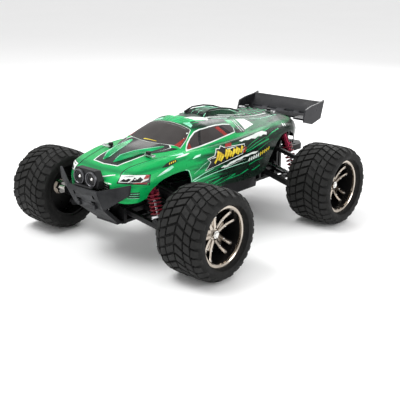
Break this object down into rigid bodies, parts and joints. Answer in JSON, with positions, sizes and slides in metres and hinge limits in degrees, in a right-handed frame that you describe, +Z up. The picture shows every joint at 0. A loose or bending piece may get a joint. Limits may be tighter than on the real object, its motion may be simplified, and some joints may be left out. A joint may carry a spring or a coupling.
{
  "type": "radio-controlled monster truck",
  "caption": "Radio-controlled monster truck with big lugged tyres, sprung arms, steering, geared rear drive and a glossy off-road body shell.",
  "frame": {"origin": "middle of the bounding box at ground level, under the tyres", "axes": "front is -Y, the truck's left is +X, +Z is up"},
  "size_m": [0.27, 0.34, 0.1298],
  "materials": {
    "chassis_plastic": "fine spark-eroded texture",
    "arm_plastic": "fine spark-eroded texture",
    "bumper_plastic": "coarse grain",
    "wing_plastic": "satin",
    "rack_plastic": "fine grain",
    "body_paint": "clear polycarbonate painted inside, glossy",
    "battery_wrap": "shrink film",
    "electronics_plastic": "smooth",
    "horn_alloy": "machined",
    "motor_can": "drawn can",
    "pinion_brass": "machined",
    "gear_steel": "sintered",
    "gearbox_plastic": "fine grain",
    "lamp_lens": "clear over silver",
    "clip_steel": "spring steel",
    "screw_steel": "black oxide",
    "dogbone_steel": "turned",
    "shock_anodised": "dark red anodised",
    "rod_steel": "polished",
    "spring_steel": "red enamel",
    "rim_chrome": "smoked chrome plating",
    "tyre_rubber": "matt moulded rubber"
  },
  "bodies": {
    "chassis": {"chassis_tub": "chassis_plastic", "battery_pack": "battery_wrap", "control_box": "electronics_plastic", "steering_servo": "electronics_plastic", "drive_motor": "motor_can", "gearbox_case": "gearbox_plastic", "gearbox_cover": "gearbox_plastic", "front_shock_tower": "arm_plastic", "rear_shock_tower": "arm_plastic", "front_bumper": "bumper_plastic", "bumper_lamps": "lamp_lens", "rear_bumper": "chassis_plastic", "body_shell": "body_paint", "body_clips": "clip_steel", "rear_wing": "wing_plastic", "screws": "screw_steel"},
    "door": {"battery_door": "chassis_plastic"},
    "switch": {"power_switch": "electronics_plastic"},
    "horn": {"servo_horn": "horn_alloy"},
    "rack": {"steering_rack": "rack_plastic"},
    "pinion": {"motor_pinion": "pinion_brass"},
    "differential": {"diff_gear": "gear_steel"},
    "front_arm_left": {"front_arm_left": "arm_plastic"},
    "front_link_left": {"front_link_left": "arm_plastic"},
    "caster_left": {"caster_block_left": "arm_plastic"},
    "knuckle_left": {"steering_knuckle_left": "arm_plastic"},
    "tie_rod_left": {"tie_rod_left": "rack_plastic"},
    "front_wheel_left": {"rim_front_left": "rim_chrome", "tyre_front_left": "tyre_rubber"},
    "rear_arm_left": {"rear_arm_left": "arm_plastic"},
    "rear_link_left": {"rear_link_left": "arm_plastic"},
    "hub_left": {"rear_hub_left": "arm_plastic"},
    "dogbone_left": {"drive_dogbone_left": "dogbone_steel"},
    "rear_wheel_left": {"rim_rear_left": "rim_chrome", "tyre_rear_left": "tyre_rubber"},
    "shock_front_left": {"shock_body_front_left": "shock_anodised", "spring_front_left": "spring_steel"},
    "shock_rod_front_left": {"shock_rod_front_left": "rod_steel"},
    "shock_rear_left": {"shock_body_rear_left": "shock_anodised", "spring_rear_left": "spring_steel"},
    "shock_rod_rear_left": {"shock_rod_rear_left": "rod_steel"},
    "front_arm_right": {"front_arm_right": "arm_plastic"},
    "front_link_right": {"front_link_right": "arm_plastic"},
    "caster_right": {"caster_block_right": "arm_plastic"},
    "knuckle_right": {"steering_knuckle_right": "arm_plastic"},
    "tie_rod_right": {"tie_rod_right": "rack_plastic"},
    "front_wheel_right": {"rim_front_right": "rim_chrome", "tyre_front_right": "tyre_rubber"},
    "rear_arm_right": {"rear_arm_right": "arm_plastic"},
    "rear_link_right": {"rear_link_right": "arm_plastic"},
    "hub_right": {"rear_hub_right": "arm_plastic"},
    "dogbone_right": {"drive_dogbone_right": "dogbone_steel"},
    "rear_wheel_right": {"rim_rear_right": "rim_chrome", "tyre_rear_right": "tyre_rubber"},
    "shock_front_right": {"shock_body_front_right": "shock_anodised", "spring_front_right": "spring_steel"},
    "shock_rod_front_right": {"shock_rod_front_right": "rod_steel"},
    "shock_rear_right": {"shock_body_rear_right": "shock_anodised", "spring_rear_right": "spring_steel"},
    "shock_rod_rear_right": {"shock_rod_rear_right": "rod_steel"}
  },
  "joints": [
    {"name": "battery_door_hinge", "type": "hinge", "parent": "chassis", "child": "door", "pos_m": [0, 0.036, 0.0355], "axis": [1, 0, 0], "range_deg": [0, 100]},
    {"name": "power_switch_slide", "type": "slide", "parent": "chassis", "child": "switch", "axis": [0, 1, 0], "range_m": [0, 0.004]},
    {"name": "steering_left", "type": "hinge", "parent": "caster_left", "child": "knuckle_left", "pos_m": [0.076, -0.1155, 0.045], "axis": [0, 0, 1], "range_deg": [-25, 25]},
    {"name": "steering_right", "type": "hinge", "parent": "caster_right", "child": "knuckle_right", "pos_m": [-0.076, -0.1155, 0.045], "axis": [0, 0, 1], "range_deg": [-25, 25]},
    {"name": "steering_rack_slide", "type": "slide", "parent": "chassis", "child": "rack", "axis": [1, 0, 0], "range_m": [-0.0078, 0.0078]},
    {"name": "servo_horn_turn", "type": "hinge", "parent": "chassis", "child": "horn", "pos_m": [0, -0.0815, 0.058], "axis": [0, 0, 1], "range_deg": [-29, 29]},
    {"name": "pinion_spin", "type": "hinge", "parent": "chassis", "child": "pinion", "pos_m": [0, 0.06448, 0.06525], "axis": [1, 0, 0], "continuous": true},
    {"name": "differential_spin", "type": "hinge", "parent": "chassis", "child": "differential", "pos_m": [0, 0.0875, 0.05688], "axis": [1, 0, 0], "continuous": true},
    {"name": "front_arm_left_hinge", "type": "hinge", "parent": "chassis", "child": "front_arm_left", "pos_m": [0.013, -0.1155, 0.046], "axis": [0, -1, 0], "range_deg": [0, 11], "stiffness_Nm_per_rad": 0.9, "springref_deg": -14.32},
    {"name": "front_link_left_hinge", "type": "hinge", "parent": "chassis", "child": "front_link_left", "pos_m": [0.013, -0.1065, 0.074], "axis": [0, -1, 0], "range_deg": [0, 11]},
    {"name": "caster_left_hinge", "type": "hinge", "parent": "front_arm_left", "child": "caster_left", "pos_m": [0.067, -0.1155, 0.0365], "axis": [0, -1, 0], "range_deg": [-11, 0]},
    {"name": "tie_rod_left_hinge", "type": "hinge", "parent": "rack", "child": "tie_rod_left", "pos_m": [0.022, -0.0975, 0.056], "axis": [0, -1, 0], "range_deg": [0, 11]},
    {"name": "shock_front_left_hinge", "type": "hinge", "parent": "chassis", "child": "shock_front_left", "pos_m": [0.042, -0.122, 0.085], "axis": [0, -1, 0], "range_deg": [0, 5.2]},
    {"name": "shock_front_left_stroke", "type": "slide", "parent": "shock_front_left", "child": "shock_rod_front_left", "axis": [-0.2884, 0, 0.9575], "range_m": [0, 0.0127], "deforming": ["spring_front_left"]},
    {"name": "front_wheel_left_spin", "type": "hinge", "parent": "knuckle_left", "child": "front_wheel_left", "pos_m": [0.1, -0.1155, 0.0435], "axis": [1, 0, 0], "continuous": true},
    {"name": "rear_arm_left_hinge", "type": "hinge", "parent": "chassis", "child": "rear_arm_left", "pos_m": [0.024, 0.0875, 0.047], "axis": [0, -1, 0], "range_deg": [0, 11], "stiffness_Nm_per_rad": 0.9, "springref_deg": -15.47},
    {"name": "rear_link_left_hinge", "type": "hinge", "parent": "chassis", "child": "rear_link_left", "pos_m": [0.024, 0.08, 0.08], "axis": [0, -1, 0], "range_deg": [0, 11]},
    {"name": "hub_left_hinge", "type": "hinge", "parent": "rear_arm_left", "child": "hub_left", "pos_m": [0.074, 0.0875, 0.0345], "axis": [0, -1, 0], "range_deg": [-11, 0]},
    {"name": "shock_rear_left_hinge", "type": "hinge", "parent": "chassis", "child": "shock_rear_left", "pos_m": [0.041, 0.098, 0.089], "axis": [0, -1, 0], "range_deg": [0, 5]},
    {"name": "shock_rear_left_stroke", "type": "slide", "parent": "shock_rear_left", "child": "shock_rod_rear_left", "axis": [-0.4031, 0, 0.9152], "range_m": [0, 0.0107], "deforming": ["spring_rear_left"]},
    {"name": "dogbone_left_swing", "type": "hinge", "parent": "chassis", "child": "dogbone_left", "pos_m": [0.0135, 0.0875, 0.05688], "axis": [0, -1, 0], "range_deg": [0, 17]},
    {"name": "rear_wheel_left_spin", "type": "hinge", "parent": "hub_left", "child": "rear_wheel_left", "pos_m": [0.1, 0.0875, 0.0435], "axis": [1, 0, 0], "continuous": true},
    {"name": "front_arm_right_hinge", "type": "hinge", "parent": "chassis", "child": "front_arm_right", "pos_m": [-0.013, -0.1155, 0.046], "axis": [0, 1, 0], "range_deg": [0, 11], "stiffness_Nm_per_rad": 0.9, "springref_deg": -14.32},
    {"name": "front_link_right_hinge", "type": "hinge", "parent": "chassis", "child": "front_link_right", "pos_m": [-0.013, -0.1065, 0.074], "axis": [0, 1, 0], "range_deg": [0, 11]},
    {"name": "caster_right_hinge", "type": "hinge", "parent": "front_arm_right", "child": "caster_right", "pos_m": [-0.067, -0.1155, 0.0365], "axis": [0, 1, 0], "range_deg": [-11, 0]},
    {"name": "tie_rod_right_hinge", "type": "hinge", "parent": "rack", "child": "tie_rod_right", "pos_m": [-0.022, -0.0975, 0.056], "axis": [0, 1, 0], "range_deg": [0, 11]},
    {"name": "shock_front_right_hinge", "type": "hinge", "parent": "chassis", "child": "shock_front_right", "pos_m": [-0.042, -0.122, 0.085], "axis": [0, 1, 0], "range_deg": [0, 5.2]},
    {"name": "shock_front_right_stroke", "type": "slide", "parent": "shock_front_right", "child": "shock_rod_front_right", "axis": [0.2884, 0, 0.9575], "range_m": [0, 0.0127], "deforming": ["spring_front_right"]},
    {"name": "front_wheel_right_spin", "type": "hinge", "parent": "knuckle_right", "child": "front_wheel_right", "pos_m": [-0.1, -0.1155, 0.0435], "axis": [1, 0, 0], "continuous": true},
    {"name": "rear_arm_right_hinge", "type": "hinge", "parent": "chassis", "child": "rear_arm_right", "pos_m": [-0.024, 0.0875, 0.047], "axis": [0, 1, 0], "range_deg": [0, 11], "stiffness_Nm_per_rad": 0.9, "springref_deg": -15.47},
    {"name": "rear_link_right_hinge", "type": "hinge", "parent": "chassis", "child": "rear_link_right", "pos_m": [-0.024, 0.08, 0.08], "axis": [0, 1, 0], "range_deg": [0, 11]},
    {"name": "hub_right_hinge", "type": "hinge", "parent": "rear_arm_right", "child": "hub_right", "pos_m": [-0.074, 0.0875, 0.0345], "axis": [0, 1, 0], "range_deg": [-11, 0]},
    {"name": "shock_rear_right_hinge", "type": "hinge", "parent": "chassis", "child": "shock_rear_right", "pos_m": [-0.041, 0.098, 0.089], "axis": [0, 1, 0], "range_deg": [0, 5]},
    {"name": "shock_rear_right_stroke", "type": "slide", "parent": "shock_rear_right", "child": "shock_rod_rear_right", "axis": [0.4031, 0, 0.9152], "range_m": [0, 0.0107], "deforming": ["spring_rear_right"]},
    {"name": "dogbone_right_swing", "type": "hinge", "parent": "chassis", "child": "dogbone_right", "pos_m": [-0.0135, 0.0875, 0.05688], "axis": [0, 1, 0], "range_deg": [0, 17]},
    {"name": "rear_wheel_right_spin", "type": "hinge", "parent": "hub_right", "child": "rear_wheel_right", "pos_m": [-0.1, 0.0875, 0.0435], "axis": [1, 0, 0], "continuous": true}
  ],
  "couplings": [
    {"joint": "steering_right", "follows": "steering_left", "ratio": 1},
    {"joint": "steering_rack_slide", "follows": "steering_left", "m_per_rad": -0.01765},
    {"joint": "servo_horn_turn", "follows": "steering_left", "ratio": -1.13},
    {"joint": "front_link_left_hinge", "follows": "front_arm_left_hinge", "ratio": 1},
    {"joint": "caster_left_hinge", "follows": "front_arm_left_hinge", "ratio": -1},
    {"joint": "tie_rod_left_hinge", "follows": "front_arm_left_hinge", "ratio": 1},
    {"joint": "shock_front_left_hinge", "follows": "front_arm_left_hinge", "ratio": 0.2829},
    {"joint": "shock_front_left_stroke", "follows": "front_arm_left_hinge", "m_per_rad": 0.040017},
    {"joint": "rear_link_left_hinge", "follows": "rear_arm_left_hinge", "ratio": 1},
    {"joint": "hub_left_hinge", "follows": "rear_arm_left_hinge", "ratio": -1},
    {"joint": "shock_rear_left_hinge", "follows": "rear_arm_left_hinge", "ratio": 0.27171},
    {"joint": "shock_rear_left_stroke", "follows": "rear_arm_left_hinge", "m_per_rad": 0.033536},
    {"joint": "dogbone_left_swing", "follows": "rear_arm_left_hinge", "ratio": 0.93458},
    {"joint": "front_link_right_hinge", "follows": "front_arm_right_hinge", "ratio": 1},
    {"joint": "caster_right_hinge", "follows": "front_arm_right_hinge", "ratio": -1},
    {"joint": "tie_rod_right_hinge", "follows": "front_arm_right_hinge", "ratio": 1},
    {"joint": "shock_front_right_hinge", "follows": "front_arm_right_hinge", "ratio": 0.2829},
    {"joint": "shock_front_right_stroke", "follows": "front_arm_right_hinge", "m_per_rad": 0.040017},
    {"joint": "rear_link_right_hinge", "follows": "rear_arm_right_hinge", "ratio": 1},
    {"joint": "hub_right_hinge", "follows": "rear_arm_right_hinge", "ratio": -1},
    {"joint": "shock_rear_right_hinge", "follows": "rear_arm_right_hinge", "ratio": 0.27171},
    {"joint": "shock_rear_right_stroke", "follows": "rear_arm_right_hinge", "m_per_rad": 0.033536},
    {"joint": "dogbone_right_swing", "follows": "rear_arm_right_hinge", "ratio": 0.93458},
    {"joint": "rear_wheel_right_spin", "follows": "rear_wheel_left_spin", "ratio": 1},
    {"joint": "differential_spin", "follows": "rear_wheel_left_spin", "ratio": 1},
    {"joint": "pinion_spin", "follows": "rear_wheel_left_spin", "ratio": -3.6923}
  ]
}
